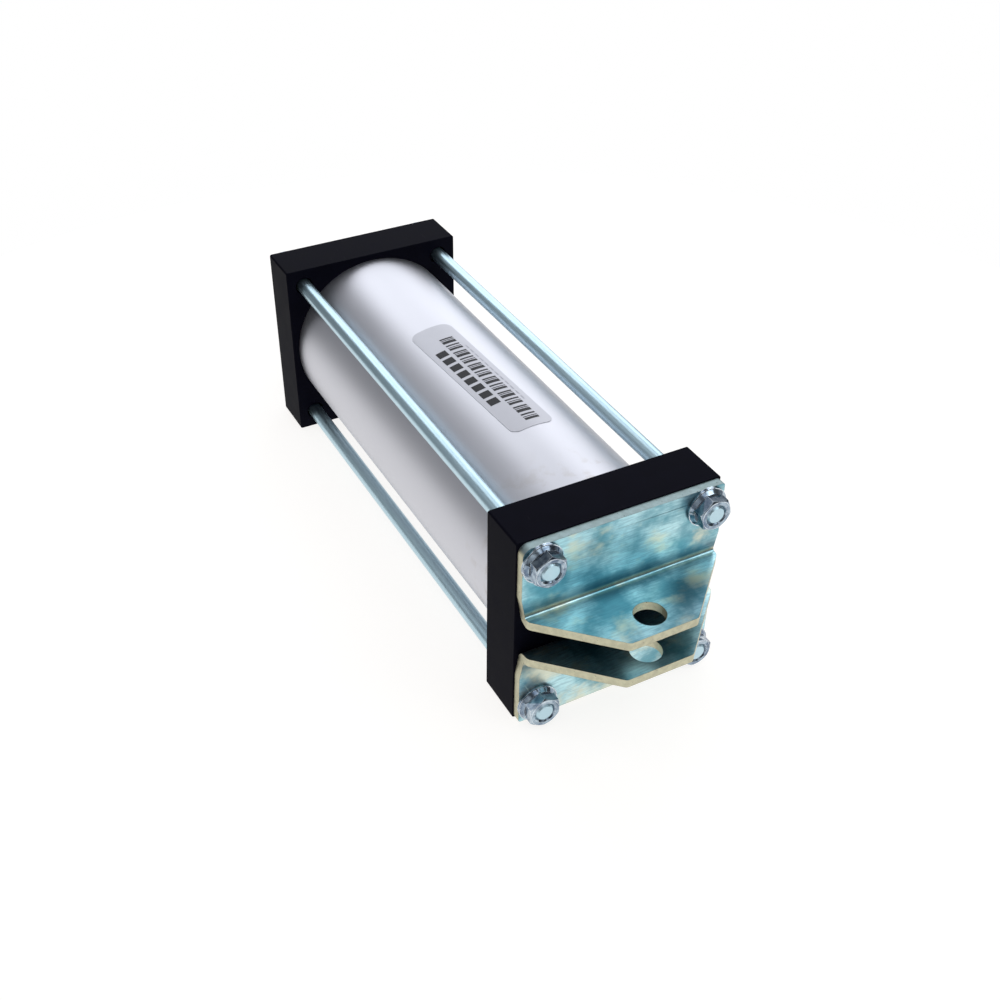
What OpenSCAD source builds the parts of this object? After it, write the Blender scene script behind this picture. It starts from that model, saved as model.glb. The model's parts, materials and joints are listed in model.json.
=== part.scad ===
// Square-capped tie-rod air cylinder with a rear clevis made of two bent brackets
// and a screwed clevis on the piston rod. All sizes are millimetres.
// Origin: centre of the rear clevis pin hole. +X: along the bore towards the rod end.
// +Z: along the rear clevis pin. The air ports face -Y.

/* [Caps and tube] */
// Side of the square end caps
cap_side = 88.9; // [88:0.1:96]
// Thickness of each end cap along the bore
cap_thickness = 22; // [20:0.5:28]
// Length of tube that shows between the two caps
tube_showing = 205; // [200:1:260]
// Bore of the tube
bore_d = 76.2; // [76:0.1:78]
// Wall thickness of the tube
tube_wall = 3.175; // [2:0.005:4]
// Depth of the round seat in each cap that the tube end stands in
seat_depth = 4; // [3:0.5:6]
// Length of the spigot of each cap beyond the cap's inner face
spigot_length = 8; // [7:0.5:10]
// Radius of the long edges of the caps
cap_edge_r = 0.9; // [0.5:0.1:2]

/* [Tie rods and nuts] */
// Distance of each tie rod from the two middle planes
tie_rod_offset = 35.8; // [35.5:0.1:36]
// Diameter of the plain shank of a tie rod
tie_rod_d = 7; // [6.5:0.1:7.5]
// Outside diameter of the tie rod thread
tie_rod_thread_d = 7.94; // [7.6:0.01:8]
// Clearance hole for a tie rod in the caps and brackets
tie_rod_hole_d = 8.7; // [8.4:0.1:9.5]
// Size across the flats of the tie rod nuts
nut_across_flats = 12.7; // [12:0.1:13]
// Height of the rear flange nuts
flange_nut_height = 7.1; // [6:0.1:9]
// Diameter of the flange of a rear nut
nut_flange_d = 17.2; // [16:0.1:17.3]
// Height of the low front nuts
front_nut_height = 4.8; // [4:0.1:7]

/* [Rear clevis] */
// Thickness of the bent plate
plate = 3.8; // [3:0.1:5]
// Inside radius of the bend
bend_r = 1.2; // [1:0.1:3]
// Clear gap between the two tabs
clevis_gap = 15; // [13:0.5:17]
// Diameter of the pin holes
pin_hole_d = 12.9; // [12.8:0.1:14]
// Distance from the pin holes to the rear cap
pin_to_cap = 23.2; // [22:0.1:30]
// Distance from the pin holes to the end of the tabs
pin_to_tip = 10.3; // [9:0.1:14]
// Width of the tabs at their end
tip_width = 32.6; // [26:0.2:40]
// Width of the brackets where they meet the cap
bracket_width = 87.6; // [85:0.1:88]
// Width of the brackets at the bend
bend_width = 84.8; // [80:0.1:87]
// Distance from the middle plane to the far edge of a bracket
bracket_reach = 43.9; // [43:0.1:44.2]
// Radius of the well rounded outer corner of a bracket
bracket_round_corner_r = 4; // [1:0.1:7]
// Radius of its nearly square outer corner
bracket_square_corner_r = 1.2; // [0.5:0.1:4]

/* [Air ports] */
// Diameter of the hole for the port thread
port_d = 11.1; // [8:0.1:12]
// Depth of the port hole
port_depth = 18; // [15:0.5:19]
// Diameter of the air passages into the bore
passage_d = 5; // [3:0.5:6]
// Distance of the air passages from the bore axis
passage_r = 30; // [29:0.5:31]

/* [Piston and rod] */
// Travel of the piston
stroke = 152.4; // [140:0.1:154]
// Diameter of the piston rod
rod_d = 19.05; // [18:0.05:20]
// Outside diameter of the threads at both ends of the rod
rod_thread_d = 15.875; // [14:0.005:16]
// Length of rod between the front cap and the jam nut when fully in
rod_showing = 6.5; // [6:0.5:12]
// Radial running clearance of the rod and the piston rings
running_gap = 0.04; // [0.02:0.01:0.08]

/* [Rod clevis] */
// Side of the square rod clevis
yoke_side = 25.4; // [25:0.1:32]
// Length of the solid, threaded part of the rod clevis
yoke_base = 20; // [18:0.5:26]
// Depth of the slot
yoke_slot_depth = 22; // [20:0.5:30]
// Width of the slot
yoke_slot = 13; // [12.8:0.1:14]

/* [Label] */
// Length of the label along the tube
label_length = 89.5; // [60:0.5:120]
// Width of the label
label_width = 20; // [12:0.5:26]
// Distance from the rear cap to the label
label_start = 44; // [20:1:60]
// Angle by which the label was stuck on askew
label_skew = 2.8; // [-5:0.1:5]

/* [Hidden] */

$fn = 96;
// How far a cutter runs past the face it opens, and a hair of overlap where two solids are joined
cut = 1;
hair = 0.01;

// Stations along the bore
rear_face = pin_to_cap;
rear_inner = rear_face + cap_thickness;
front_inner = rear_inner + tube_showing;
front_face = front_inner + cap_thickness;

// Tube and cap spigots
bore_r = bore_d / 2;
tube_r = bore_r + tube_wall;
seat_gap = 0.15;
spigot_r = bore_r - seat_gap;
seal_groove_r = bore_r - 3;
seal_groove_width = 4.5;
seal_groove_start = 1.5;

// Bumper rings, let into the end face of each spigot
bumper_inner_r = 19;
bumper_outer_r = 26;
bumper_sunk = 2.5;
bumper_proud = 2;

// Countersink of the port holes, at 45 degrees
port_countersink = 1.3;

// Gland in the front cap, measured from its outer face
gland_hole_r = rod_d / 2 + 0.35;
rod_ring_r = rod_d / 2 + running_gap;
wiper_r = 13;
wiper_depth = 4.5;
wiper_lip = 1.2;
wiper_lip_edge_r = rod_ring_r + 0.8;
wiper_lip_root_r = rod_ring_r + 2.2;
rod_seal_r = 13.5;
rod_seal_start = 6.5;
rod_seal_width = 6;
bushing_r = 12.5;
bushing_start = 14;

// Piston and what holds it on the rod
stop_gap = 0.3;
chamber_start = rear_inner + spigot_length + bumper_proud;
chamber_length = tube_showing - 2 * (spigot_length + bumper_proud);
piston_start = chamber_start + stop_gap;
piston_length = chamber_length - stroke - 2 * stop_gap;
piston_end = piston_start + piston_length;
piston_r = bore_r - 0.4;
ring_r = bore_r - running_gap;
ring_side_gap = 0.15;
piston_chamfer = 0.8;
piston_land = 2.5;
piston_seal_width = 8;
piston_seal_floor = bore_r - 6.5;
wear_ring_width = 6.5;
wear_ring_floor = bore_r - 2.5;
wear_ring_split = 1;
rear_seal_from = piston_start + piston_land;
front_seal_from = piston_end - piston_land - piston_seal_width;
wear_ring_from = piston_start + (piston_length - wear_ring_width) / 2;
thread_hole_r = rod_thread_d / 2 + 0.06;
piston_rod_seal_x = piston_start + piston_length / 2;
piston_rod_seal_floor = rod_thread_d / 2 + 2;
piston_rod_seal_width = 2.8;
washer_thickness = 2.5;
washer_r = 15;
piston_nut_height = 10;
rod_nut_across_flats = 23.8;
pocket_r = 17;
pocket_depth = 14;
stud_start = piston_start - washer_thickness - piston_nut_height - 1;

// Rod end
jam_nut_height = 9.5;
rod_shoulder = front_face + rod_showing;
yoke_start = rod_shoulder + jam_nut_height;
yoke_length = yoke_base + yoke_slot_depth;
yoke_end = yoke_start + yoke_length;
yoke_pin_x = yoke_end - yoke_side / 2;
yoke_turned_r = yoke_side * 0.635;
yoke_chamfer_length = 3;
wrench_flat = 16;
wrench_flat_length = rod_showing - 1.5;
rod_chamfer = 0.5;
rod_thread_chamfer = 1;
rod_thread_end = yoke_start + yoke_base - 2.5;
yoke_web = 1.5;

// Tie rods and nuts
tie_rod_start = rear_face - plate - flange_nut_height;
tie_rod_end = front_face + front_nut_height;
tie_thread_length = 22;
tie_rod_chamfer = 0.7;
nut_hole_r = tie_rod_thread_d / 2 + 0.03;
nut_flange_edge = 1.2;
nut_flange_rise = 2.6;
nut_flange_slope_r = nut_across_flats / 2 + 0.6;
nut_countersink = 0.75;
// How far each rear nut is turned, from +Y, as they came to rest when tightened
rear_nut_turns = [14, 32, 40, 28];
// The four tie rod places as signs of Y and Z: upper right is -Y seen from the rear
CORNERS = [[-1, 1], [1, 1], [-1, -1], [1, -1]];

// Brackets
bend_outer_r = bend_r + plate;
bend_x = rear_face - bend_outer_r;
bend_z = clevis_gap / 2 + bend_outer_r;
tab_tip_r = 2.5;
tab_shoulder_r = 3.4;
// Height above the middle plane where a flange reaches its full width
flange_full_z = 20;

// Label
label_thickness = 0.15;
label_corner_r = 4;
label_shift = 1.7;

// A solid cylinder along the bore axis
module bar(r, from, to) {
    translate([from, 0, 0])
        rotate([0, 90, 0])
            cylinder(r = r, h = to - from);
}

// A cone or cylinder along the bore axis
module taper(r_from, r_to, from, to) {
    translate([from, 0, 0])
        rotate([0, 90, 0])
            cylinder(r1 = r_from, r2 = r_to, h = to - from);
}

// A plain ring around the bore axis
module ring(inner_r, outer_r, from, to) {
    difference() {
        bar(outer_r, from, to);
        bar(inner_r, from - cut, to + cut);
    }
}

// A bar with both ends chamfered
module chamfered_bar(r, from, to, chamfer) {
    taper(r - chamfer, r, from, from + chamfer);
    bar(r, from + chamfer, to - chamfer);
    taper(r, r - chamfer, to - chamfer, to);
}

// A square whose corners are round
module round_square(width, height, r) {
    square([width - 2 * r, height], center = true);
    square([width, height - 2 * r], center = true);
    for (x = [-1, 1], y = [-1, 1])
        translate([x * (width / 2 - r), y * (height / 2 - r)])
            circle(r = r);
}

// A hexagonal prism along the bore axis, with one corner at the angle turn from +Y
module hexagon(across_flats, from, to, turn) {
    translate([from, 0, 0])
        rotate([turn, 0, 0])
            rotate([0, 90, 0])
                rotate([0, 0, 90])
                    cylinder(d = across_flats / cos(30), h = to - from, $fn = 6);
}

// Radius of the round face left on a nut, and how far a 30 degree cone widens over its height
function nut_face_r(across_flats) = across_flats * 0.475;
function nut_flare(height) = height / tan(30);

// A hexagon whose corners are turned off by a cone at its rear end
module turned_hexagon(across_flats, from, to, turn) {
    face_r = nut_face_r(across_flats);
    intersection() {
        hexagon(across_flats, from, to, turn);
        taper(face_r, face_r + nut_flare(to - from), from, to);
    }
}

// The same, turned off at both ends
module double_turned_hexagon(across_flats, from, to, turn) {
    face_r = nut_face_r(across_flats);
    intersection() {
        turned_hexagon(across_flats, from, to, turn);
        taper(face_r + nut_flare(to - from), face_r, from, to);
    }
}

// A U-cup seal ring whose mouth is at x = 0 and whose back is at x = width
module u_cup(inner_r, outer_r, width) {
    middle = (inner_r + outer_r) / 2;
    mouth = (outer_r - inner_r) * 0.24;
    rotate([0, 90, 0])
        rotate_extrude()
            polygon([
                [inner_r, 0], [middle - mouth, 0], [middle, width * 0.42], [middle + mouth, 0],
                [outer_r, 0], [outer_r, width], [inner_r, width]
            ]);
}

// An O-ring that fills the space between two radii, centred on x
module o_ring(inner_r, outer_r, x) {
    translate([x, 0, 0])
        rotate([0, 90, 0])
            rotate_extrude()
                translate([(inner_r + outer_r) / 2, 0])
                    circle(r = (outer_r - inner_r) / 2);
}

// Repeats its child at the four tie rods
module at_tie_rods() {
    for (corner = CORNERS)
        translate([0, corner[0] * tie_rod_offset, corner[1] * tie_rod_offset])
            children();
}

// What both caps share, with the outer face at x = 0 and the bore towards +X
module cap_casting() {
    spigot_end = cap_thickness + spigot_length;
    groove_start = cap_thickness + seal_groove_start;
    port_x = cap_thickness / 2;
    port_face = -cap_side / 2;
    difference() {
        union() {
            difference() {
                rotate([90, 0, 90])
                    linear_extrude(cap_thickness)
                        round_square(cap_side, cap_side, cap_edge_r);
                bar(tube_r + seat_gap, cap_thickness - seat_depth, cap_thickness + cut);
            }
            bar(spigot_r, cap_thickness - seat_depth - cut, spigot_end);
        }
        ring(seal_groove_r, tube_r, groove_start, groove_start + seal_groove_width);
        ring(bumper_inner_r, bumper_outer_r, spigot_end - bumper_sunk, spigot_end + cut);
        at_tie_rods()
            bar(tie_rod_hole_d / 2, -cut, cap_thickness + cut);
        translate([port_x, port_face - cut, 0])
            rotate([-90, 0, 0])
                cylinder(d = port_d, h = port_depth + cut);
        translate([port_x, port_face - hair, 0])
            rotate([-90, 0, 0])
                cylinder(d1 = port_d + 2 * port_countersink, d2 = port_d, h = port_countersink);
        translate([0, -passage_r, 0])
            bar(passage_d / 2, port_x, spigot_end + cut);
    }
}

// Places a part that is drawn from the outer face of a cap at either end
module at_rear() {
    translate([rear_face, 0, 0])
        children();
}

module at_front() {
    translate([front_face, 0, 0])
        mirror([1, 0, 0])
            children();
}

module rear_cap() {
    spigot_end = cap_thickness + spigot_length;
    color([0.07, 0.07, 0.09])
        at_rear()
            difference() {
                cap_casting();
                bar(pocket_r, spigot_end - pocket_depth, spigot_end + cut);
            }
}

module front_cap() {
    color([0.07, 0.07, 0.09])
        at_front()
            difference() {
                cap_casting();
                bar(wiper_r, -cut, wiper_depth);
                bar(gland_hole_r, 0, bushing_start + cut);
                bar(rod_seal_r, rod_seal_start, rod_seal_start + rod_seal_width);
                bar(bushing_r, bushing_start, cap_thickness + spigot_length + cut);
            }
}

module barrel_tube() {
    color([0.78, 0.78, 0.83])
        ring(bore_r, tube_r, rear_inner - seat_depth, front_inner + seat_depth);
}

// A rod with a thread at each end that is slightly thicker than its shank
module tie_rod(corner) {
    thread_r = tie_rod_thread_d / 2;
    shank_from = tie_rod_start + tie_thread_length;
    shank_to = tie_rod_end - tie_thread_length;
    color([0.70, 0.80, 0.86])
        translate([0, corner[0] * tie_rod_offset, corner[1] * tie_rod_offset]) {
            chamfered_bar(thread_r, tie_rod_start, shank_from, tie_rod_chamfer);
            bar(tie_rod_d / 2, shank_from - cut, shank_to + cut);
            chamfered_bar(thread_r, shank_to, tie_rod_end, tie_rod_chamfer);
        }
}

// A hexagon flange nut that stands on x = 0 and points towards -X
module flange_nut(turn) {
    flange_r = nut_flange_d / 2;
    mouth_r = nut_hole_r + nut_countersink;
    difference() {
        union() {
            turned_hexagon(nut_across_flats, -flange_nut_height, 0, turn);
            bar(flange_r, -nut_flange_edge, 0);
            taper(nut_flange_slope_r, flange_r - 0.4, -nut_flange_rise, -nut_flange_edge);
        }
        bar(nut_hole_r, -flange_nut_height - cut, cut);
        taper(mouth_r, nut_hole_r, -flange_nut_height - hair, nut_countersink - flange_nut_height);
    }
}

module rear_flange_nuts() {
    color([0.72, 0.82, 0.90])
        for (i = [0:3])
            translate([rear_face - plate, CORNERS[i][0] * tie_rod_offset, CORNERS[i][1] * tie_rod_offset])
                flange_nut(rear_nut_turns[i]);
}

module front_nuts() {
    color([0.72, 0.82, 0.90])
        at_tie_rods()
            difference() {
                double_turned_hexagon(nut_across_flats, front_face, tie_rod_end, 0);
                bar(nut_hole_r, front_face - cut, tie_rod_end + cut);
            }
}

// Outline of a bracket's flange in Y and Z
module flange_outline() {
    side_y = bracket_width / 2;
    round_r = bracket_round_corner_r;
    square_r = bracket_square_corner_r;
    polygon([
        [-bend_width / 2, bend_z - hair],
        [bend_width / 2, bend_z - hair],
        [side_y, flange_full_z],
        [side_y, bracket_reach - round_r],
        [side_y - round_r, bracket_reach],
        [square_r - side_y, bracket_reach],
        [-side_y, bracket_reach - square_r],
        [-side_y, flange_full_z]
    ]);
    translate([side_y - round_r, bracket_reach - round_r])
        circle(r = round_r);
    translate([square_r - side_y, bracket_reach - square_r])
        circle(r = square_r);
}

// Outline of a bracket's tab in X and Y, tapered towards the pin
module tab_outline() {
    intersection() {
        hull() {
            for (side = [-1, 1]) {
                translate([tab_tip_r - pin_to_tip, side * (tip_width / 2 - tab_tip_r)])
                    circle(r = tab_tip_r, $fn = 32);
                translate([bend_x, side * (bend_width / 2 - tab_shoulder_r)])
                    circle(r = tab_shoulder_r);
            }
        }
        translate([-pin_to_tip - cut, -bend_width / 2 - cut])
            square([bend_x + pin_to_tip + cut + hair, bend_width + 2 * cut]);
    }
}

// The bracket above the middle plane: a flange on the cap, a sharp bend and a tab
module clevis_bracket() {
    difference() {
        union() {
            translate([rear_face - plate, 0, 0])
                rotate([90, 0, 90])
                    linear_extrude(plate)
                        flange_outline();
            // Bend, a quarter of a thick tube
            translate([bend_x, bend_width / 2, bend_z])
                rotate([90, 0, 0])
                    intersection() {
                        difference() {
                            cylinder(r = bend_outer_r, h = bend_width);
                            translate([0, 0, -cut])
                                cylinder(r = bend_r, h = bend_width + 2 * cut);
                        }
                        translate([0, -bend_outer_r, 0])
                            cube([bend_outer_r, bend_outer_r, bend_width]);
                    }
            translate([0, 0, clevis_gap / 2])
                linear_extrude(plate)
                    tab_outline();
        }
        translate([0, 0, -cut])
            cylinder(d = pin_hole_d, h = bend_z);
        at_tie_rods()
            bar(tie_rod_hole_d / 2, 0, rear_face + cut);
    }
}

module upper_clevis_bracket() {
    color([0.42, 0.66, 0.72])
        clevis_bracket();
}

// The same pressing, turned half way round the bore axis
module lower_clevis_bracket() {
    color([0.42, 0.66, 0.72])
        rotate([180, 0, 0])
            clevis_bracket();
}

// The O-ring between a cap spigot and the tube
module tube_seal() {
    color([0.05, 0.05, 0.05])
        o_ring(seal_groove_r, bore_r, cap_thickness + seal_groove_start + seal_groove_width / 2);
}

module rear_tube_seal() {
    at_rear()
        tube_seal();
}

module front_tube_seal() {
    at_front()
        tube_seal();
}

// The rubber ring that the piston lands on
module bumper() {
    face = cap_thickness + spigot_length;
    color([0.12, 0.12, 0.12])
        ring(bumper_inner_r + 0.05, bumper_outer_r - 0.05, face - bumper_sunk, face + bumper_proud);
}

module rear_bumper() {
    at_rear()
        bumper();
}

module front_bumper() {
    at_front()
        bumper();
}

module rod_bushing() {
    color([0.72, 0.55, 0.30])
        at_front()
            ring(rod_ring_r, bushing_r, bushing_start, cap_thickness + spigot_length);
}

// U-cup on the rod, with its mouth towards the pressure
module rod_seal() {
    color([0.20, 0.20, 0.22])
        at_front()
            translate([rod_seal_start + rod_seal_width - ring_side_gap, 0, 0])
                mirror([1, 0, 0])
                    u_cup(rod_ring_r, rod_seal_r, rod_seal_width - 2 * ring_side_gap);
}

// Scraper ring pressed into the outer face, with a lip that leans on the rod
module rod_wiper() {
    color([0.10, 0.10, 0.11])
        at_front()
            difference() {
                union() {
                    bar(wiper_r, 0, wiper_depth);
                    taper(wiper_lip_edge_r, wiper_lip_root_r, -wiper_lip, 0);
                }
                bar(rod_ring_r, -wiper_lip - cut, wiper_depth + cut);
            }
}

// A thin sticker that follows the tube
module label() {
    middle = rear_inner + label_start + label_length / 2;
    color([0.80, 0.81, 0.86])
        intersection() {
            ring(tube_r, tube_r + label_thickness, middle - label_length, middle + label_length);
            translate([middle, label_shift, 0])
                rotate([0, 0, label_skew])
                    linear_extrude(tube_r + cut)
                        round_square(label_length, label_width, label_corner_r);
        }
}

// Three grooves in its rim take the seals and the guide ring, one inside takes the O-ring
module piston() {
    rod_seal_from = piston_rod_seal_x - piston_rod_seal_width / 2;
    color([0.75, 0.76, 0.78])
        difference() {
            chamfered_bar(piston_r, piston_start, piston_end, piston_chamfer);
            ring(piston_seal_floor, bore_r, rear_seal_from, rear_seal_from + piston_seal_width);
            ring(piston_seal_floor, bore_r, front_seal_from, front_seal_from + piston_seal_width);
            ring(wear_ring_floor, bore_r, wear_ring_from, wear_ring_from + wear_ring_width);
            bar(thread_hole_r, piston_start - cut, piston_end + cut);
            bar(piston_rod_seal_floor, rod_seal_from, rod_seal_from + piston_rod_seal_width);
        }
}

// A U-cup in the rim of the piston, with its mouth at x = 0
module piston_cup() {
    color([0.16, 0.17, 0.20])
        u_cup(piston_seal_floor + running_gap, ring_r, piston_seal_width - 2 * ring_side_gap);
}

module rear_piston_seal() {
    translate([rear_seal_from + ring_side_gap, 0, 0])
        piston_cup();
}

module front_piston_seal() {
    translate([front_seal_from + piston_seal_width - ring_side_gap, 0, 0])
        mirror([1, 0, 0])
            piston_cup();
}

// Split guide ring
module piston_wear_ring() {
    color([0.35, 0.30, 0.25])
        difference() {
            ring(
                wear_ring_floor + running_gap, ring_r,
                wear_ring_from + ring_side_gap, wear_ring_from + wear_ring_width - ring_side_gap
            );
            translate([wear_ring_from - cut, -wear_ring_split / 2, wear_ring_floor - cut])
                cube([wear_ring_width + 2 * cut, wear_ring_split, bore_r]);
        }
}

// Static O-ring between the piston and the rod stud
module piston_rod_seal() {
    color([0.05, 0.05, 0.05])
        o_ring(rod_thread_d / 2, piston_rod_seal_floor, piston_rod_seal_x);
}

module piston_washer() {
    color([0.70, 0.72, 0.74])
        ring(thread_hole_r, washer_r, piston_start - washer_thickness, piston_start);
}

module piston_nut() {
    nut_end = piston_start - washer_thickness;
    color([0.70, 0.72, 0.74])
        difference() {
            double_turned_hexagon(rod_nut_across_flats, nut_end - piston_nut_height, nut_end, 0);
            bar(thread_hole_r, nut_end - piston_nut_height - cut, nut_end + cut);
        }
}

// A thinner stud for the piston, the rod itself with two flats for a wrench, and the front thread
module piston_rod() {
    thread_r = rod_thread_d / 2;
    flats_from = rod_shoulder - rod_chamfer - wrench_flat_length;
    color([0.85, 0.87, 0.90])
        difference() {
            union() {
                chamfered_bar(thread_r, stud_start, piston_end + cut, rod_thread_chamfer);
                chamfered_bar(rod_d / 2, piston_end, rod_shoulder, rod_chamfer);
                chamfered_bar(thread_r, rod_shoulder - cut, rod_thread_end, rod_thread_chamfer);
            }
            for (side = [0, 180])
                rotate([side, 0, 0])
                    translate([flats_from, -rod_d, wrench_flat / 2])
                        cube([wrench_flat_length, 2 * rod_d, rod_d]);
        }
}

module rod_jam_nut() {
    color([0.72, 0.80, 0.86])
        difference() {
            double_turned_hexagon(rod_nut_across_flats, rod_shoulder, yoke_start, 20);
            bar(thread_hole_r, rod_shoulder - cut, yoke_start + cut);
        }
}

// Square fork with a round nose, its pin hole along Z and a blind tapped hole in its base
module rod_clevis() {
    chamfer_to = yoke_start + yoke_chamfer_length;
    color([0.62, 0.70, 0.74])
        difference() {
            intersection() {
                union() {
                    translate([yoke_start, -yoke_side / 2, -yoke_side / 2])
                        cube([yoke_pin_x - yoke_start, yoke_side, yoke_side]);
                    translate([yoke_pin_x, 0, -yoke_side / 2])
                        cylinder(d = yoke_side, h = yoke_side);
                }
                union() {
                    taper(yoke_side / 2 - 0.6, yoke_turned_r, yoke_start, chamfer_to);
                    bar(yoke_turned_r, chamfer_to, yoke_end);
                }
            }
            bar(thread_hole_r, yoke_start - cut, yoke_start + yoke_base - yoke_web);
            translate([yoke_end - yoke_slot_depth, -yoke_side, -yoke_slot / 2])
                cube([yoke_slot_depth + cut, 2 * yoke_side, yoke_slot]);
            translate([yoke_pin_x, 0, -yoke_side])
                cylinder(d = pin_hole_d, h = 2 * yoke_side);
        }
}

barrel_tube();
rear_cap();
front_cap();
tie_rod(CORNERS[0]);  // tie_rod_upper_right
tie_rod(CORNERS[1]);  // tie_rod_upper_left
tie_rod(CORNERS[2]);  // tie_rod_lower_right
tie_rod(CORNERS[3]);  // tie_rod_lower_left
rear_flange_nuts();
front_nuts();
upper_clevis_bracket();
lower_clevis_bracket();
rear_tube_seal();
front_tube_seal();
rear_bumper();
front_bumper();
rod_bushing();
rod_seal();
rod_wiper();
label();
piston();
rear_piston_seal();
front_piston_seal();
piston_wear_ring();
piston_rod_seal();
piston_rod();
piston_washer();
piston_nut();
rod_jam_nut();
rod_clevis();
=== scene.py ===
"""The looks of a tie-rod air cylinder.

They are its materials, softened edges, port threads, the sticker's print and the studio round it. Everything
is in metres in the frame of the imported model: the origin is the rear clevis pin hole, +X runs along the bore
to the rod end, +Z is up and the air ports face -Y.
"""

import json
import math

import bmesh
import bpy
from mathutils import Matrix, Vector


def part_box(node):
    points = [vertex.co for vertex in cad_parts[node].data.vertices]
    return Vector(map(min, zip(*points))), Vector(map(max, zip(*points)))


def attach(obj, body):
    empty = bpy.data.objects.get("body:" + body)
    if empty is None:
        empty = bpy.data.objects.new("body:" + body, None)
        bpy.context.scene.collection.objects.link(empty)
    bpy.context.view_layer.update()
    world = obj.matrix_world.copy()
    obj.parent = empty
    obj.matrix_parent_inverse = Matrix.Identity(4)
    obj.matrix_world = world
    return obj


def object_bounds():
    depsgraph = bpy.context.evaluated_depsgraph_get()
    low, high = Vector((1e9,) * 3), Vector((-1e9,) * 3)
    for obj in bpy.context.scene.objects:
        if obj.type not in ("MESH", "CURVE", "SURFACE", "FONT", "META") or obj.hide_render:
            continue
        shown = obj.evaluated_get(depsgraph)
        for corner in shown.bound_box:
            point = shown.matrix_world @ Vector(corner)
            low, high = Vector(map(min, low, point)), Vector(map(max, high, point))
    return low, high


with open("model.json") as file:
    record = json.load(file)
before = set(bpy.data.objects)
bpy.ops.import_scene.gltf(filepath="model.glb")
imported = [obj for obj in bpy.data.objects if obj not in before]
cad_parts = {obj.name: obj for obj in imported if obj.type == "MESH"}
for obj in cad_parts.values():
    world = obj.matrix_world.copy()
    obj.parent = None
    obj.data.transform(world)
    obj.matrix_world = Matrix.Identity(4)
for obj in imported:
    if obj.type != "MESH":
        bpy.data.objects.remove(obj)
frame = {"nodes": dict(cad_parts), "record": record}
NODES = frame["nodes"]
MM = 0.001

# ---------------------------------------------------------------- measures from the frame

cad_low, cad_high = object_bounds()
tube_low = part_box("barrel_tube")[0]
label_low, label_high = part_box("label")
LABEL_R = label_high.z
LABEL_MIDDLE_X = (label_low.x + label_high.x) / 2


# ---------------------------------------------------------------- camera

CAMERA_AT = Vector((-0.2863, 0.2210, 0.3397))
CAMERA_HEADING = math.radians(-28.74)
CAMERA_DOWN = math.radians(37.70)
CAMERA_ROLL = math.radians(0.78)
CAMERA_LENS_MM = 46.99
CAMERA_SENSOR_MM = 36


def make_camera():
    """A camera that looks along a compass heading and down from it, then rolls about its line of sight."""
    data = bpy.data.cameras.new("camera")
    data.lens = CAMERA_LENS_MM
    data.sensor_width = CAMERA_SENSOR_MM
    data.clip_start = 10 * MM
    camera = bpy.data.objects.new("camera", data)
    turn = Matrix.Rotation(CAMERA_HEADING - math.pi / 2, 3, "Z")
    tip = Matrix.Rotation(math.pi / 2 - CAMERA_DOWN, 3, "X")
    roll = Matrix.Rotation(CAMERA_ROLL, 3, "Z")
    camera.matrix_world = Matrix.Translation(CAMERA_AT) @ (turn @ tip @ roll).to_4x4()
    bpy.context.scene.collection.objects.link(camera)
    bpy.context.scene.camera = camera


make_camera()


# ---------------------------------------------------------------- material kit

NOISE_ROUGHNESS = 0.55


class Graph:
    """Short calls that add nodes to a shader tree and return the output socket that matters."""

    def __init__(self, tree):
        self.tree = tree

    def feed(self, socket, value):
        """Links a node's output to a socket, or sets the socket to a number or colour."""
        if isinstance(value, bpy.types.NodeSocket):
            self.tree.links.new(value, socket)
        else:
            socket.default_value = value

    def node(self, kind, *inputs, **settings):
        """Adds a node and feeds its first sockets in order; None leaves a socket as it is."""
        made = self.tree.nodes.new("ShaderNode" + kind)
        for key, value in settings.items():
            setattr(made, key, value)
        for socket, value in zip(made.inputs, inputs):
            if value is not None:
                self.feed(socket, value)
        return made

    def math(self, operation, *values):
        """The result of one operation on numbers."""
        return self.node("Math", *values, operation=operation).outputs[0]

    def ramp(self, value, low, high):
        """0 below low, 1 above high and smooth between; high may be less than low."""
        made = self.node("MapRange", value, low, high, 0.0, 1.0, interpolation_type="SMOOTHSTEP")
        return made.outputs[0]

    def scale(self, value, low, high):
        """Spreads a value from 0..1 over low..high."""
        return self.node("MapRange", value, 0.0, 1.0, low, high).outputs[0]

    def mix(self, factor, first, second):
        """The first colour where the factor is 0 and the second where it is 1."""
        made = self.node("Mix", factor, data_type="RGBA")
        color_a, color_b = made.inputs[6], made.inputs[7]
        self.feed(color_a, first)
        self.feed(color_b, second)
        return made.outputs[2]

    def split(self, vector):
        """The X, Y and Z outputs of a vector."""
        return self.node("SeparateXYZ", vector).outputs


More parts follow.
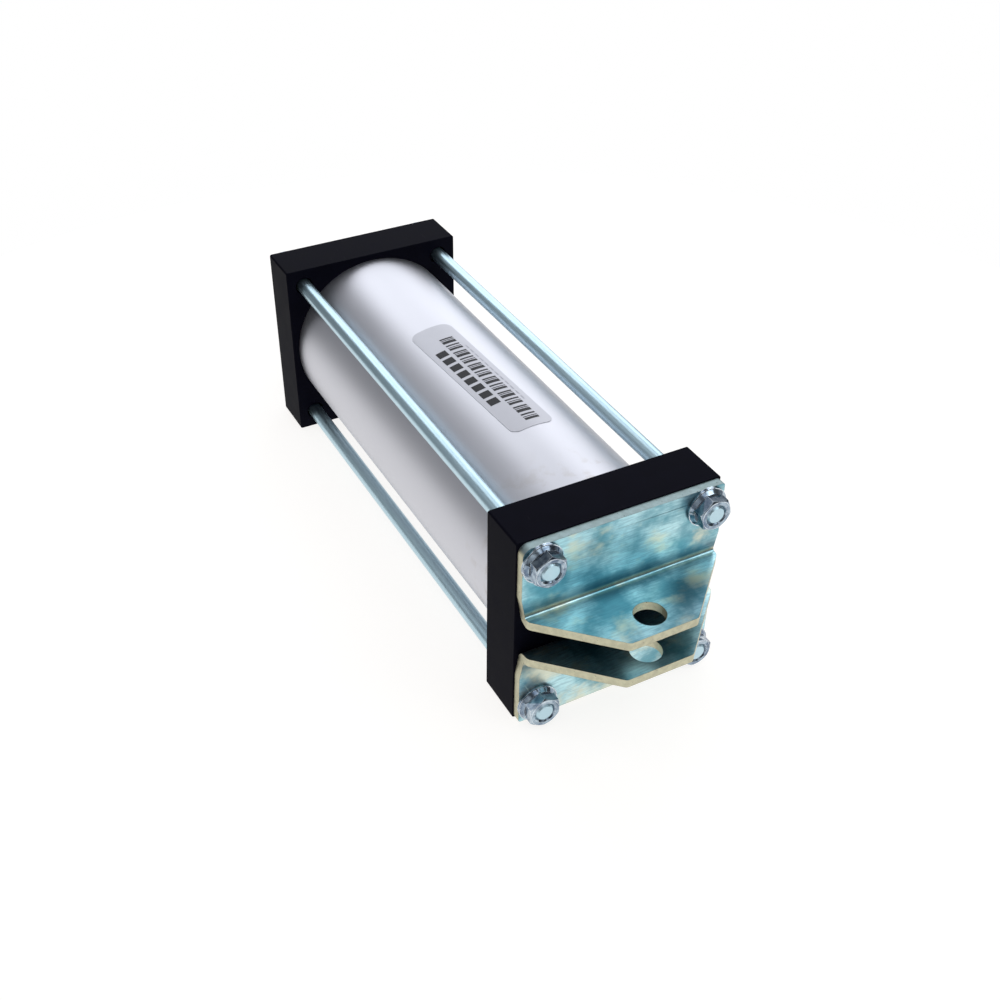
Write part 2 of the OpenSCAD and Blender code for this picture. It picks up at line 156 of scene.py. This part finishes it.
class Finish(Graph):
    """A procedural material: a Principled shader, and calls for surface detail in front of it."""

    def __init__(self, name, **constants):
        self.material = bpy.data.materials.new(name)
        self.material.use_nodes = True
        super().__init__(self.material.node_tree)
        self.shader = self.tree.nodes["Principled BSDF"]
        coordinates = self.node("TexCoord")
        self.place = coordinates.outputs["Object"]
        self.normal = coordinates.outputs["Normal"]
        self.relief = None
        for socket, value in constants.items():
            self.shader.inputs[socket.replace("_", " ")].default_value = value

    def noise(self, size, detail=3, stretch=(1, 1, 1), shift=0, turn=(0, 0, 0)):
        """Soft noise from 0 to 1 whose blotches are about size metres, stretched along each axis."""
        scale = tuple(1 / (size * s) for s in stretch)
        spot = self.node("Mapping", self.place, (shift, shift, shift), turn, scale).outputs[0]
        return self.node("TexNoise", spot, None, 1.0, detail, NOISE_ROUGHNESS).outputs["Fac"]

    def wear(self, radius, low=0.02, high=0.25):
        """1 on outer and inner edges within radius metres, 0 on the faces between them."""
        soft = self.node("Bevel", radius, samples=6).outputs[0]
        true = self.node("NewGeometry").outputs["True Normal"]
        dot = self.node("VectorMath", soft, true, operation="DOT_PRODUCT").outputs["Value"]
        return self.ramp(self.math("SUBTRACT", 1.0, dot), low, high)

    def crevice(self, radius):
        """1 in corners that other surfaces shade within radius metres, 0 in the open."""
        made = self.node("AmbientOcclusion", samples=8)
        made.inputs["Distance"].default_value = radius
        return self.ramp(made.outputs["AO"], 0.85, 0.35)

    def bump(self, height, depth):
        """Raises the surface by depth metres where height is 1."""
        made = self.node("Bump")
        made.inputs["Strength"].default_value = 1.0
        made.inputs["Distance"].default_value = depth
        self.feed(made.inputs["Height"], height)
        if self.relief is not None:
            self.feed(made.inputs["Normal"], self.relief)
        self.relief = made.outputs[0]

    def finish(self, color, roughness):
        """Connects the colour, the roughness and any relief, and returns the material."""
        self.feed(self.shader.inputs["Base Color"], color)
        self.feed(self.shader.inputs["Roughness"], roughness)
        if self.relief is not None:
            self.feed(self.shader.inputs["Normal"], self.relief)
        return self.material


def rgb(red, green, blue):
    """An opaque colour, in linear light."""
    return (red, green, blue, 1.0)


# ---------------------------------------------------------------- materials


def black_anodised():
    """Almost black satin caps, with a blue cast, a fine grain and paler rubbed edges."""
    f = Finish("black_cap", Specular_IOR_Level=0.012)
    cloud = f.noise(9 * MM, 4)
    color = f.mix(cloud, rgb(0.003, 0.003, 0.006), rgb(0.006, 0.006, 0.012))
    rubbed = f.math("MULTIPLY", f.wear(0.5 * MM), f.ramp(f.noise(1.5 * MM, 5), 0.45, 0.62))
    color = f.mix(f.scale(rubbed, 0.0, 0.5), color, rgb(0.06, 0.06, 0.07))
    scratch = f.ramp(f.noise(0.5 * MM, 2, (30, 1.5, 1), 3, (0.5, 0.3, 0.9)), 0.72, 0.78)
    color = f.mix(f.scale(scratch, 0.0, 0.25), color, rgb(0.05, 0.05, 0.06))
    f.bump(f.noise(0.35 * MM, 2), 0.006 * MM)
    return f.finish(color, f.scale(cloud, 0.42, 0.55))


def satin_tube():
    """Clear anodised tube: pale, faintly lavender, with lengthwise die lines and a few handling stains."""
    f = Finish("tube_aluminium", Metallic=1.0)
    cloud = f.noise(22 * MM, 4, (1.6, 1, 1))
    color = f.mix(cloud, rgb(0.60, 0.605, 0.65), rgb(0.67, 0.675, 0.72))
    lines = f.noise(0.6 * MM, 2, (120, 1, 1))
    color = f.mix(f.scale(lines, 0.0, 0.10), color, rgb(0.6, 0.6, 0.66))
    x = f.split(f.place)["X"]
    near_cap = f.ramp(x, tube_low.x + 40 * MM, tube_low.x + 4 * MM)
    stain = f.math("MULTIPLY", near_cap, f.ramp(f.noise(8 * MM, 5, shift=2), 0.50, 0.68))
    color = f.mix(f.scale(stain, 0.0, 0.40), color, rgb(0.42, 0.38, 0.33))
    f.bump(lines, 0.0015 * MM)
    return f.finish(color, f.scale(cloud, 0.40, 0.48))


def blue_zinc(name, color_low, color_high, roughness, stretch, dull):
    """Bright zinc with a blue passivation and a fine grain; dull is how strong its grey spots are."""
    f = Finish(name, Metallic=1.0)
    grain = f.noise(0.5 * MM, 3, stretch)
    cloud = f.noise(5 * MM, 4, (2, 1, 1), 5)
    color = f.mix(cloud, rgb(*color_low), rgb(*color_high))
    spots = f.ramp(f.noise(1.1 * MM, 4, shift=9), 0.62, 0.75)
    color = f.mix(f.scale(spots, 0.0, dull), color, rgb(0.34, 0.40, 0.45))
    f.bump(grain, 0.003 * MM)
    return f.finish(color, f.scale(grain, roughness * 0.8, roughness * 1.4))


def bracket_zinc():
    """Bent plates: teal zinc with brushed streaks, cream stains, a dark bend, pale cut edges with nicks, and
    painted light on the cut edge that faces up.
    """
    f = Finish("bracket_zinc", Metallic=1.0)
    tilt_x, tilt_y, tilt_z = (f.math("ABSOLUTE", tilt) for tilt in f.split(f.normal))
    z = f.split(f.place)["Z"]
    height = f.math("ABSOLUTE", z)
    # heights from the middle plane: over a tab's outer face, above the bend, on the flat flange
    tab_face, bend_top, flange_foot = 12 * MM, 14 * MM, 20 * MM
    cloud = f.noise(16 * MM, 5, shift=1)
    color = f.mix(f.ramp(cloud, 0.35, 0.65), rgb(0.15, 0.37, 0.44), rgb(0.58, 0.86, 0.91))
    streak = f.noise(0.6 * MM, 4, (1, 9, 1), 4, (0.6, 0.0, 0.0))
    color = f.mix(f.scale(f.ramp(streak, 0.35, 0.70), 0.0, 0.42), color, rgb(0.12, 0.27, 0.34))
    # cream stains: some on the upper plate, more on the lower one
    lower = f.ramp(z, 0.0, -20 * MM)
    stain = f.math("ADD", f.noise(13 * MM, 5, (1, 1.5, 1), 3), f.scale(lower, 0.0, 0.12))
    cream = f.ramp(stain, 0.54, 0.74)
    color = f.mix(f.scale(cream, 0.0, 0.8), color, rgb(0.78, 0.77, 0.60))
    # darker in a band where the flange runs into the bend
    above_tab = f.ramp(height, tab_face - 0.5 * MM, tab_face + 0.5 * MM)
    bend = f.math("MULTIPLY", f.ramp(height, flange_foot, bend_top), above_tab)
    color = f.mix(f.scale(bend, 0.0, 0.75), color, rgb(0.03, 0.08, 0.11))
    # the sheared edges: the plate's narrow faces, whichever way they point
    on_tab = f.ramp(height, bend_top, tab_face)
    side_of_tab = f.math("MULTIPLY", on_tab, f.ramp(tilt_z, 0.5, 0.3))
    on_flange = f.ramp(height, flange_foot - 2 * MM, flange_foot)
    side_of_flange = f.math("MULTIPLY", on_flange, f.ramp(tilt_x, 0.5, 0.3))
    side = f.math("MAXIMUM", side_of_tab, side_of_flange)
    side = f.math("MAXIMUM", side, f.ramp(tilt_y, 0.5, 0.8))
    # cream steel; painted light makes the cut edge that faces up bluer and darker
    facing_up_painted_light = f.ramp(f.split(f.normal)["Z"], 0.3, 0.7)
    pale = f.mix(facing_up_painted_light, rgb(0.62, 0.60, 0.44), rgb(0.34, 0.44, 0.45))
    shaded = f.mix(0.2, pale, rgb(0.10, 0.11, 0.08))
    cut = f.mix(f.ramp(f.noise(2.5 * MM, 5), 0.35, 0.65), shaded, pale)
    nick = f.ramp(f.noise(0.7 * MM, 3, shift=6), 0.68, 0.73)
    cut = f.mix(nick, cut, rgb(0.04, 0.04, 0.03))
    color = f.mix(side, color, cut)
    # a broken dark line along the burrs
    burr = f.math("MULTIPLY", f.wear(0.45 * MM), f.ramp(f.noise(2 * MM, 4, shift=8), 0.3, 0.55))
    color = f.mix(f.scale(burr, 0.0, 0.7), color, rgb(0.10, 0.08, 0.05))
    f.bump(streak, 0.006 * MM)
    rough = f.scale(streak, 0.24, 0.42)
    return f.finish(color, f.math("MAXIMUM", rough, f.scale(side, 0.0, 0.5)))


def nut_zinc():
    """Bright zinc on the nuts: dark blue mirror-like flats, worn rims and painted shade in the corners."""
    f = Finish("nut_zinc", Metallic=1.0)
    cloud = f.noise(4 * MM, 4, shift=5)
    color = f.mix(f.ramp(cloud, 0.3, 0.7), rgb(0.12, 0.17, 0.25), rgb(0.46, 0.56, 0.64))
    mark = f.ramp(f.noise(1.3 * MM, 5, (1, 3, 1), 2), 0.56, 0.66)
    color = f.mix(f.scale(mark, 0.0, 0.6), color, rgb(0.10, 0.13, 0.17))
    color = f.mix(f.wear(0.55 * MM, 0.02, 0.15), color, rgb(0.94, 0.98, 1.0))
    # painted shade: near-black blue in the corners that nearby surfaces shade
    color = f.mix(f.scale(f.crevice(2.5 * MM), 0.0, 0.95), color, rgb(0.01, 0.015, 0.025))
    f.bump(f.noise(0.5 * MM, 3), 0.004 * MM)
    return f.finish(color, f.scale(cloud, 0.07, 0.14))


def machined(name, low, high, roughness):
    """Turned metal: fine rings round the bore axis."""
    f = Finish(name, Metallic=1.0)
    x, y, z = f.split(f.place)
    radius = f.math("SQRT", f.math("ADD", f.math("MULTIPLY", y, y), f.math("MULTIPLY", z, z)))
    feed_per_turn = 0.25 * MM
    phase = f.math("MULTIPLY", f.math("ADD", radius, x), 2 * math.pi / feed_per_turn)
    tool_mark = f.math("SINE", phase)
    cloud = f.noise(6 * MM, 3)
    # only the crests of the wave stand up: the scale cuts off its lower half
    f.bump(f.scale(tool_mark, 0.0, 1.0), 0.002 * MM)
    return f.finish(f.mix(cloud, rgb(*low), rgb(*high)), f.scale(cloud, roughness * 0.8, roughness * 1.3))


def polished_chrome():
    """Ground hard chrome, with hair-fine rings from grinding."""
    f = Finish("rod_chrome", Metallic=1.0)
    ring = f.noise(0.25 * MM, 2, (1, 60, 60))
    color = f.mix(f.noise(12 * MM, 3), rgb(0.80, 0.81, 0.84), rgb(0.88, 0.89, 0.91))
    f.bump(ring, 0.0006 * MM)
    return f.finish(color, f.scale(ring, 0.07, 0.13))


def moulded(name, low, high, roughness):
    """Rubber or plastic with a fine moulded grain."""
    f = Finish(name, Specular_IOR_Level=0.4)
    cloud = f.noise(4 * MM, 4)
    f.bump(f.noise(0.25 * MM, 3, shift=2), 0.01 * MM)
    return f.finish(f.mix(cloud, rgb(*low), rgb(*high)), f.scale(cloud, roughness * 0.85, roughness * 1.15))


def label_film():
    """Silver-grey printed film, with a slight orange peel."""
    f = Finish("label_film", Metallic=0.7, Specular_IOR_Level=0.45)
    cloud = f.noise(10 * MM, 3)
    color = f.mix(cloud, rgb(0.45, 0.455, 0.495), rgb(0.51, 0.515, 0.555))
    f.bump(f.noise(1.2 * MM, 2), 0.004 * MM)
    return f.finish(color, f.scale(cloud, 0.38, 0.46))


def label_ink():
    """Black print, thinner in places."""
    f = Finish("label_ink", Specular_IOR_Level=0.3)
    worn = f.scale(f.ramp(f.noise(0.8 * MM, 4), 0.60, 0.85), 0.0, 0.5)
    return f.finish(f.mix(worn, rgb(0.012, 0.012, 0.016), rgb(0.16, 0.16, 0.19)), 0.5)


def label_faint_ink():
    """Pale grey print."""
    f = Finish("label_faint_ink", Specular_IOR_Level=0.3)
    worn = f.noise(0.8 * MM, 4)
    return f.finish(f.mix(worn, rgb(0.30, 0.30, 0.35), rgb(0.44, 0.44, 0.50)), 0.5)


ALONG_THE_BORE = (80, 1, 1)
EVEN = (1, 1, 1)

FINISHES = {
    "black_cap": black_anodised(),
    "tube_aluminium": satin_tube(),
    "tie_rod_zinc": blue_zinc(
        "tie_rod_zinc", (0.44, 0.62, 0.71), (0.56, 0.73, 0.80), 0.30, ALONG_THE_BORE, 0.25
    ),
    "nut_zinc": nut_zinc(),
    "bracket_zinc": bracket_zinc(),
    "fork_zinc": blue_zinc("fork_zinc", (0.52, 0.62, 0.66), (0.70, 0.78, 0.82), 0.24, EVEN, 0.45),
    "rod_chrome": polished_chrome(),
    "piston_aluminium": machined("piston_aluminium", (0.70, 0.71, 0.73), (0.80, 0.81, 0.83), 0.3),
    "plain_steel": machined("plain_steel", (0.44, 0.45, 0.47), (0.58, 0.59, 0.61), 0.3),
    "bushing_bronze": machined("bushing_bronze", (0.56, 0.38, 0.18), (0.70, 0.50, 0.26), 0.42),
    "seal_rubber": moulded("seal_rubber", (0.010, 0.010, 0.011), (0.022, 0.022, 0.024), 0.62),
    "seal_polyurethane": moulded("seal_polyurethane", (0.020, 0.024, 0.036), (0.036, 0.042, 0.058), 0.38),
    "guide_plastic": moulded("guide_plastic", (0.16, 0.12, 0.08), (0.24, 0.19, 0.13), 0.55),
    "label_film": label_film(),
}
INK = label_ink()
FAINT_INK = label_faint_ink()

slot_of = {part["node"]: part["material_slot"] for part in frame["record"]["subparts"]}
for node, piece in NODES.items():
    piece.material_slots[0].material = FINISHES[slot_of[node]]


# ---------------------------------------------------------------- softened edges on the CAD nodes

SHARP_ANGLE = math.radians(32)
FLAT_ANGLE = math.radians(0.5)
EDGE_SEGMENTS = 3
WELD_DISTANCE = 1e-7


def smoothing_group():
    """Geometry nodes that shade smooth, except across edges sharper than an angle."""
    group = bpy.data.node_groups.new("smooth_by_angle", "GeometryNodeTree")
    group.interface.new_socket("Geometry", in_out="INPUT", socket_type="NodeSocketGeometry")
    angle = group.interface.new_socket("Angle", in_out="INPUT", socket_type="NodeSocketFloat")
    angle.default_value = SHARP_ANGLE
    group.interface.new_socket("Geometry", in_out="OUTPUT", socket_type="NodeSocketGeometry")
    start = group.nodes.new("NodeGroupInput")
    end = group.nodes.new("NodeGroupOutput")
    drop = group.nodes.new("GeometryNodeRemoveAttribute")
    drop.inputs["Name"].default_value = "custom_normal"
    faces = group.nodes.new("GeometryNodeSetShadeSmooth")
    faces.domain = "FACE"
    edges = group.nodes.new("GeometryNodeSetShadeSmooth")
    edges.domain = "EDGE"
    edge_angle = group.nodes.new("GeometryNodeInputMeshEdgeAngle")
    below = group.nodes.new("FunctionNodeCompare")
    below.operation = "LESS_THAN"
    link = group.links.new
    link(start.outputs[0], drop.inputs["Geometry"])
    link(drop.outputs["Geometry"], faces.inputs["Geometry"])
    link(faces.outputs[0], edges.inputs["Geometry"])
    link(edge_angle.outputs["Unsigned Angle"], below.inputs[0])
    link(start.outputs[1], below.inputs[1])
    link(below.outputs[0], edges.inputs["Shade Smooth"])
    link(edges.outputs[0], end.inputs[0])
    return group


SMOOTH_BY_ANGLE = smoothing_group()


def soften(piece, radius):
    """Welds a CAD mesh and shades it; with a radius, also merges its flat triangles and rounds its edges."""
    weld = piece.modifiers.new("weld", "WELD")
    weld.merge_threshold = WELD_DISTANCE
    if radius:
        flat = piece.modifiers.new("flat_faces", "DECIMATE")
        flat.decimate_type = "DISSOLVE"
        flat.angle_limit = FLAT_ANGLE
        bevel = piece.modifiers.new("edges", "BEVEL")
        bevel.width = radius
        bevel.segments = EDGE_SEGMENTS
        bevel.limit_method = "ANGLE"
        bevel.angle_limit = SHARP_ANGLE
        bevel.harden_normals = False
    smooth = piece.modifiers.new("smooth", "NODES")
    smooth.node_group = SMOOTH_BY_ANGLE
    if radius:
        flat_normals = piece.modifiers.new("flat_normals", "WEIGHTED_NORMAL")
        flat_normals.keep_sharp = True


EDGE_RADII = {
    "rear_cap": 0.5 * MM,
    "front_cap": 0.5 * MM,
    "upper_clevis_bracket": 0.3 * MM,
    "lower_clevis_bracket": 0.3 * MM,
    "rear_flange_nuts": 0.2 * MM,
    "front_nuts": 0.2 * MM,
    "rod_jam_nut": 0.25 * MM,
    "piston_nut": 0.25 * MM,
    "rod_clevis": 0.5 * MM,
}
for node, piece in NODES.items():
    soften(piece, EDGE_RADII.get(node, 0))


# ---------------------------------------------------------------- added pieces


def skin(mesh, rings):
    """Closes a row of rings of vertices into a tube with two end faces."""
    mesh.faces.new(rings[0])
    mesh.faces.new(reversed(rings[-1]))
    for ring, after in zip(rings, rings[1:]):
        for k in range(len(ring)):
            following = (k + 1) % len(ring)
            mesh.faces.new((ring[k], after[k], after[following], ring[following]))


def new_piece(name, mesh, material, body):
    """Turns a bmesh into a piece of the object that rides on a body."""
    bmesh.ops.recalc_face_normals(mesh, faces=mesh.faces)
    data = bpy.data.meshes.new(name)
    mesh.to_mesh(data)
    mesh.free()
    data.materials.append(material)
    piece = bpy.data.objects.new(name, data)
    bpy.context.scene.collection.objects.link(piece)
    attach(piece, body)


# ---------------------------------------------------------------- the sticker's print

LABEL_SKEW = math.radians(2.8)
LABEL_SHIFT = 1.7 * MM
INK_LIFT = 0.01 * MM
INK_THICKNESS = 0.02 * MM
INK_STEPS = 6

BAR_UNIT = 0.5 * MM
BAR_RHYTHM = ((3, 1), (1, 2), (2, 3), (4, 1), (1, 1), (2, 4))
BARS_FROM = -40 * MM
BARS_TO = 33 * MM


def on_label(along, across, radius):
    """A point of the tube's surface above a place on the sticker, measured from its middle."""
    spot = Matrix.Rotation(LABEL_SKEW, 2) @ Vector((along, across))
    x = LABEL_MIDDLE_X + spot.x
    y = LABEL_SHIFT + spot.y
    return Vector((x, y, math.sqrt(radius**2 - y**2)))


def ink_patch(mesh, middle, width, across_low, across_high):
    """A thin closed patch of ink that follows the tube."""
    rings = []
    for i in range(INK_STEPS + 1):
        across = across_low + (across_high - across_low) * i / INK_STEPS
        corners = []
        for side, lift in ((-1, 0), (1, 0), (1, INK_THICKNESS), (-1, INK_THICKNESS)):
            along = middle + side * width / 2
            corners.append(mesh.verts.new(on_label(along, across, LABEL_R + INK_LIFT + lift)))
        rings.append(corners)
    skin(mesh, rings)


def ink_row(name, material, marks, across_low, across_high):
    """A row of printed marks, each given by its middle and its width along the sticker."""
    mesh = bmesh.new()
    for middle, width in marks:
        ink_patch(mesh, middle, width, across_low, across_high)
    new_piece(name, mesh, material, "barrel")


def bar_marks():
    """Bars and gaps in a plain repeating rhythm: they encode nothing."""
    marks = []
    at = BARS_FROM
    while at < BARS_TO:
        width, gap = BAR_RHYTHM[len(marks) % len(BAR_RHYTHM)]
        marks.append((at + width * BAR_UNIT / 2, width * BAR_UNIT))
        at += (width + gap) * BAR_UNIT
    return marks


def even_marks(count, first, pitch, width):
    """Marks of one width, evenly spaced."""
    return [(first + pitch * i, width) for i in range(count)]


ink_row("label_bars", INK, bar_marks(), -5.4 * MM, 1.2 * MM)
ink_row("label_dashes", INK, even_marks(8, -21 * MM, 6.2 * MM, 4.4 * MM), 2.9 * MM, 7.7 * MM)
ink_row("label_faint_line", FAINT_INK, even_marks(12, -24 * MM, 4.2 * MM, 2.8 * MM), -7.4 * MM, -6.8 * MM)


# ---------------------------------------------------------------- threads in the air ports

PORT_R = 5.55 * MM
PORT_THREAD_PITCH = 25.4 / 18 * MM
PORT_THREAD_DEPTH = 0.75 * MM
PORT_THREAD_BITE = 0.02 * MM
PORT_THREAD_LENGTH = 14 * MM
PORT_MOUTH_Y = cad_low.y + 1.3 * MM
THREAD_STEPS_PER_TURN = 48
THREAD_ROOT_SHARE = 0.42
THREAD_CREST_SHARE = 0.08


def port_thread(name, middle_x):
    """The helical ridge of a tapped port, from its countersink inwards."""
    mesh = bmesh.new()
    steps = int(PORT_THREAD_LENGTH / PORT_THREAD_PITCH * THREAD_STEPS_PER_TURN)
    root = PORT_R + PORT_THREAD_BITE
    rings = []
    for i in range(steps + 1):
        turns = i / THREAD_STEPS_PER_TURN
        out = Vector((math.cos(2 * math.pi * turns), 0, math.sin(2 * math.pi * turns)))
        centre = Vector((middle_x, PORT_MOUTH_Y + PORT_THREAD_PITCH * turns, 0))
        fade = min(1.0, turns, steps / THREAD_STEPS_PER_TURN - turns)
        crest = PORT_R - PORT_THREAD_DEPTH * fade
        profile = (
            (root, -THREAD_ROOT_SHARE),
            (crest, -THREAD_CREST_SHARE),
            (crest, THREAD_CREST_SHARE),
            (root, THREAD_ROOT_SHARE),
        )
        rings.append([
            mesh.verts.new(centre + out * radius + Vector((0, share * PORT_THREAD_PITCH, 0)))
            for radius, share in profile
        ])
    skin(mesh, rings)
    new_piece(name, mesh, FINISHES["black_cap"], "barrel")


PORT_X = {mount["name"]: mount["pos_m"][0] for mount in frame["record"]["mounts"]}
for port in ("rear_port", "front_port"):
    port_thread(port + "_thread", PORT_X[port])


# ---------------------------------------------------------------- studio

WHITE = rgb(1.0, 1.0, 1.0)
STUDIO_CENTRE = Vector((0.12, 0, 0))
FLOOR_RADIUS = 0.42
FLOOR_GAP = 0.2 * MM
# the room's brightness against the upward part of the direction, and its faint blue tint
ROOM_LEVELS = ((0.0, 0.24), (0.30, 0.24), (0.55, 0.42), (0.75, 0.80), (1.0, 0.95))
ROOM_TINT = (0.94, 0.96, 1.0)
ROOM_PANELS = 8
PANEL_DARK, PANEL_BRIGHT = 0.3, 1.7


def make_floor():
    """A pale disc under the part that glows just enough to match the white backdrop."""
    data = bpy.data.meshes.new("floor")
    mesh = bmesh.new()
    bmesh.ops.create_circle(mesh, cap_ends=True, radius=FLOOR_RADIUS, segments=96)
    mesh.to_mesh(data)
    mesh.free()
    floor = bpy.data.objects.new("floor", data)
    floor.location = (STUDIO_CENTRE.x, 0, cad_low.z - FLOOR_GAP)
    paint = Finish("floor", Specular_IOR_Level=0.0, Emission_Strength=0.85)
    paint.shader.inputs["Emission Color"].default_value = rgb(1.0, 0.985, 0.965)
    data.materials.append(paint.finish(rgb(0.25, 0.25, 0.25), 0.9))
    bpy.context.scene.collection.objects.link(floor)


def make_world():
    """A white backdrop, and for the light on the object a dim room that brightens overhead."""
    world = bpy.data.worlds.new("studio")
    bpy.context.scene.world = world
    world.use_nodes = True
    graph = Graph(world.node_tree)
    x, y, z = graph.split(graph.node("TexCoord").outputs["Generated"])
    room = graph.node("ValToRGB", z)
    stops = room.color_ramp.elements
    for i, (at, level) in enumerate(ROOM_LEVELS):
        stop = stops[i] if i < 2 else stops.new(at)
        stop.position = at
        stop.color = rgb(*(level * tint for tint in ROOM_TINT))
    # bright panels with dark gaps between them, which shiny metal shows and matt metal blends
    wave = graph.math("COSINE", graph.math("MULTIPLY", graph.math("ARCTAN2", y, x), ROOM_PANELS))
    panel = graph.scale(graph.ramp(wave, -0.9, 0.9), PANEL_DARK, PANEL_BRIGHT)
    lit = graph.node("VectorMath", room.outputs[0], None, None, panel, operation="SCALE").outputs[0]
    seen_directly = graph.node("LightPath").outputs["Is Camera Ray"]
    background = graph.tree.nodes["Background"]
    graph.feed(background.inputs["Color"], graph.mix(seen_directly, lit, WHITE))


def softbox(name, azimuth, elevation, distance, size, brightness, color):
    """A rectangular light aimed at the part from a direction given in degrees; brightness is its radiance."""
    data = bpy.data.lights.new(name, "AREA")
    data.shape = "RECTANGLE"
    data.size, data.size_y = size
    data.energy = brightness * math.pi * size[0] * size[1]
    data.color = color
    light = bpy.data.objects.new(name, data)
    flat = math.cos(math.radians(elevation))
    aim = Vector((
        flat * math.cos(math.radians(azimuth)),
        flat * math.sin(math.radians(azimuth)),
        math.sin(math.radians(elevation)),
    ))
    light.location = STUDIO_CENTRE + aim * distance
    light.rotation_euler = aim.to_track_quat("Z", "Y").to_euler()
    bpy.context.scene.collection.objects.link(light)


make_floor()
make_world()
softbox("window", -25, 24, 1.0, (1.05, 0.85), 1.45, (0.94, 0.96, 1.0))
softbox("back_light", -142, 48, 1.0, (0.55, 0.45), 1.6, (0.95, 1.0, 1.0))
bpy.context.scene.view_settings.view_transform = "Standard"
